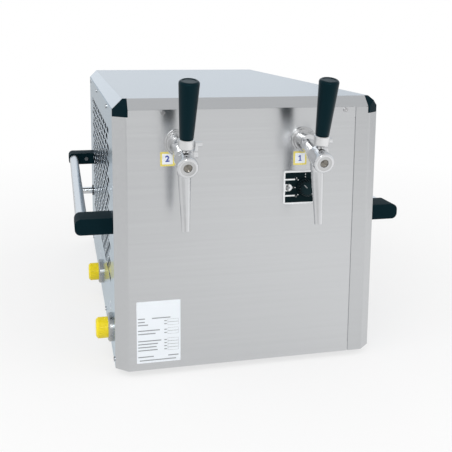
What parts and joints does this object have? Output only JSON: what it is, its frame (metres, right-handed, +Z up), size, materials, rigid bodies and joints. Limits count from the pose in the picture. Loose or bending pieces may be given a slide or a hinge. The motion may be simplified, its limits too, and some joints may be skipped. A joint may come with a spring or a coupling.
{
  "type": "dry beer cooler",
  "caption": "Table-top dry beer cooler: sheet-steel case with lever taps, carry handles, thermostat, vent grilles and capped keg inlets on one side.",
  "frame": {"origin": "on the standing surface, under the middle of the whole object's box", "axes": "+Z up, the front with the taps faces -Y, +X to the right as one faces the taps"},
  "size_m": [0.508, 0.834, 0.4452],
  "materials": {
    "case_steel": "brushed",
    "black_plastic": "satin",
    "screw_steel": "bright",
    "handle_metal": "satin",
    "tap_metal": "polished",
    "fitting_metal": "polished",
    "yellow_plastic": "satin",
    "foot_rubber": "matte",
    "block_aluminium": "cast",
    "foam": "foam",
    "hose": "smooth",
    "copper": "drawn tube",
    "shell_paint": "semi-gloss"
  },
  "bodies": {
    "cooler": {"base_tray": "case_steel", "rubber_feet": "foot_rubber", "top_cover": "case_steel", "left_side_panel": "case_steel", "right_side_panel": "case_steel", "front_panel": "case_steel", "front_post": "case_steel", "back_panel": "case_steel", "left_corner_cap": "black_plastic", "right_corner_cap": "black_plastic", "panel_screws": "screw_steel", "left_handle_tube": "handle_metal", "right_handle_tube": "handle_metal", "left_front_bracket": "black_plastic", "left_rear_bracket": "black_plastic", "right_front_bracket": "black_plastic", "right_rear_bracket": "black_plastic", "bracket_screws": "screw_steel", "tap_1_rosette": "tap_metal", "tap_1_shank": "tap_metal", "tap_1_body": "tap_metal", "tap_1_front_cap": "tap_metal", "tap_1_spout": "tap_metal", "tap_2_rosette": "tap_metal", "tap_2_shank": "tap_metal", "tap_2_body": "tap_metal", "tap_2_front_cap": "tap_metal", "tap_2_spout": "tap_metal", "shank_nuts": "screw_steel", "front_cap_screws": "screw_steel", "dial_plate": "black_plastic", "thermostat_body": "black_plastic", "sensor_tube": "copper", "inlet_flanges": "fitting_metal", "inlet_nipples": "fitting_metal", "hose_nozzle": "fitting_metal", "cable_gland": "black_plastic", "cooling_block": "block_aluminium", "block_foam": "foam", "beer_lines": "hose", "compressor": "shell_paint", "compressor_mounts": "foot_rubber", "condenser": "shell_paint", "fan_frame": "black_plastic", "refrigerant_pipes": "copper"},
    "tap_1_handle": {"tap_1_lever": "tap_metal", "tap_1_grip": "black_plastic"},
    "tap_1_valve": {"tap_1_piston": "tap_metal"},
    "tap_1_flow_lever": {"tap_1_compensator_lever": "tap_metal"},
    "tap_1_flow_cone": {"tap_1_compensator_cone": "tap_metal"},
    "tap_2_handle": {"tap_2_lever": "tap_metal", "tap_2_grip": "black_plastic"},
    "tap_2_valve": {"tap_2_piston": "tap_metal"},
    "tap_2_flow_lever": {"tap_2_compensator_lever": "tap_metal"},
    "tap_2_flow_cone": {"tap_2_compensator_cone": "tap_metal"},
    "thermostat_dial": {"thermostat_knob": "black_plastic", "thermostat_spindle": "screw_steel"},
    "fan": {"fan_rotor": "black_plastic"},
    "front_cap": {"front_inlet_cap": "yellow_plastic"},
    "rear_cap": {"rear_inlet_cap": "yellow_plastic"}
  },
  "joints": [
    {"name": "tap_1_pull", "type": "hinge", "parent": "cooler", "child": "tap_1_handle", "pos_m": [0.078, -0.3777, 0.34297], "axis": [1, 0, 0], "range_deg": [-12, 25]},
    {"name": "tap_1_valve_slide", "type": "slide", "parent": "cooler", "child": "tap_1_valve", "axis": [0, 0.9744, 0.225], "range_m": [-0.0017, 0.0035]},
    {"name": "tap_1_flow_turn", "type": "hinge", "parent": "cooler", "child": "tap_1_flow_lever", "pos_m": [0.078, -0.34794, 0.33855], "axis": [1, 0, 0], "range_deg": [-45, 75]},
    {"name": "tap_1_cone_slide", "type": "slide", "parent": "cooler", "child": "tap_1_flow_cone", "axis": [0, 0.9744, 0.225], "range_m": [-0.0012, 0.002]},
    {"name": "tap_2_pull", "type": "hinge", "parent": "cooler", "child": "tap_2_handle", "pos_m": [-0.11, -0.3777, 0.34297], "axis": [1, 0, 0], "range_deg": [-12, 25]},
    {"name": "tap_2_valve_slide", "type": "slide", "parent": "cooler", "child": "tap_2_valve", "axis": [0, 0.9744, 0.225], "range_m": [-0.0017, 0.0035]},
    {"name": "tap_2_flow_turn", "type": "hinge", "parent": "cooler", "child": "tap_2_flow_lever", "pos_m": [-0.11, -0.34794, 0.33855], "axis": [1, 0, 0], "range_deg": [-45, 75]},
    {"name": "tap_2_cone_slide", "type": "slide", "parent": "cooler", "child": "tap_2_flow_cone", "axis": [0, 0.9744, 0.225], "range_m": [-0.0012, 0.002]},
    {"name": "thermostat_turn", "type": "hinge", "parent": "cooler", "child": "thermostat_dial", "pos_m": [0.082, -0.30702, 0.276], "axis": [0, -1, 0], "range_deg": [-135, 135]},
    {"name": "fan_spin", "type": "hinge", "parent": "cooler", "child": "fan", "pos_m": [-0.145, 0.18798, 0.22], "axis": [1, 0, 0], "continuous": true},
    {"name": "front_cap_pull", "type": "slide", "parent": "cooler", "child": "front_cap", "axis": [-1, 0, 0], "range_m": [0, 0.025]},
    {"name": "rear_cap_pull", "type": "slide", "parent": "cooler", "child": "rear_cap", "axis": [-1, 0, 0], "range_m": [0, 0.025]}
  ],
  "couplings": [
    {"joint": "tap_1_valve_slide", "follows": "tap_1_pull", "m_per_rad": 0.008},
    {"joint": "tap_1_cone_slide", "follows": "tap_1_flow_turn", "m_per_rad": 0.0015},
    {"joint": "tap_2_valve_slide", "follows": "tap_2_pull", "m_per_rad": 0.008},
    {"joint": "tap_2_cone_slide", "follows": "tap_2_flow_turn", "m_per_rad": 0.0015}
  ]
}
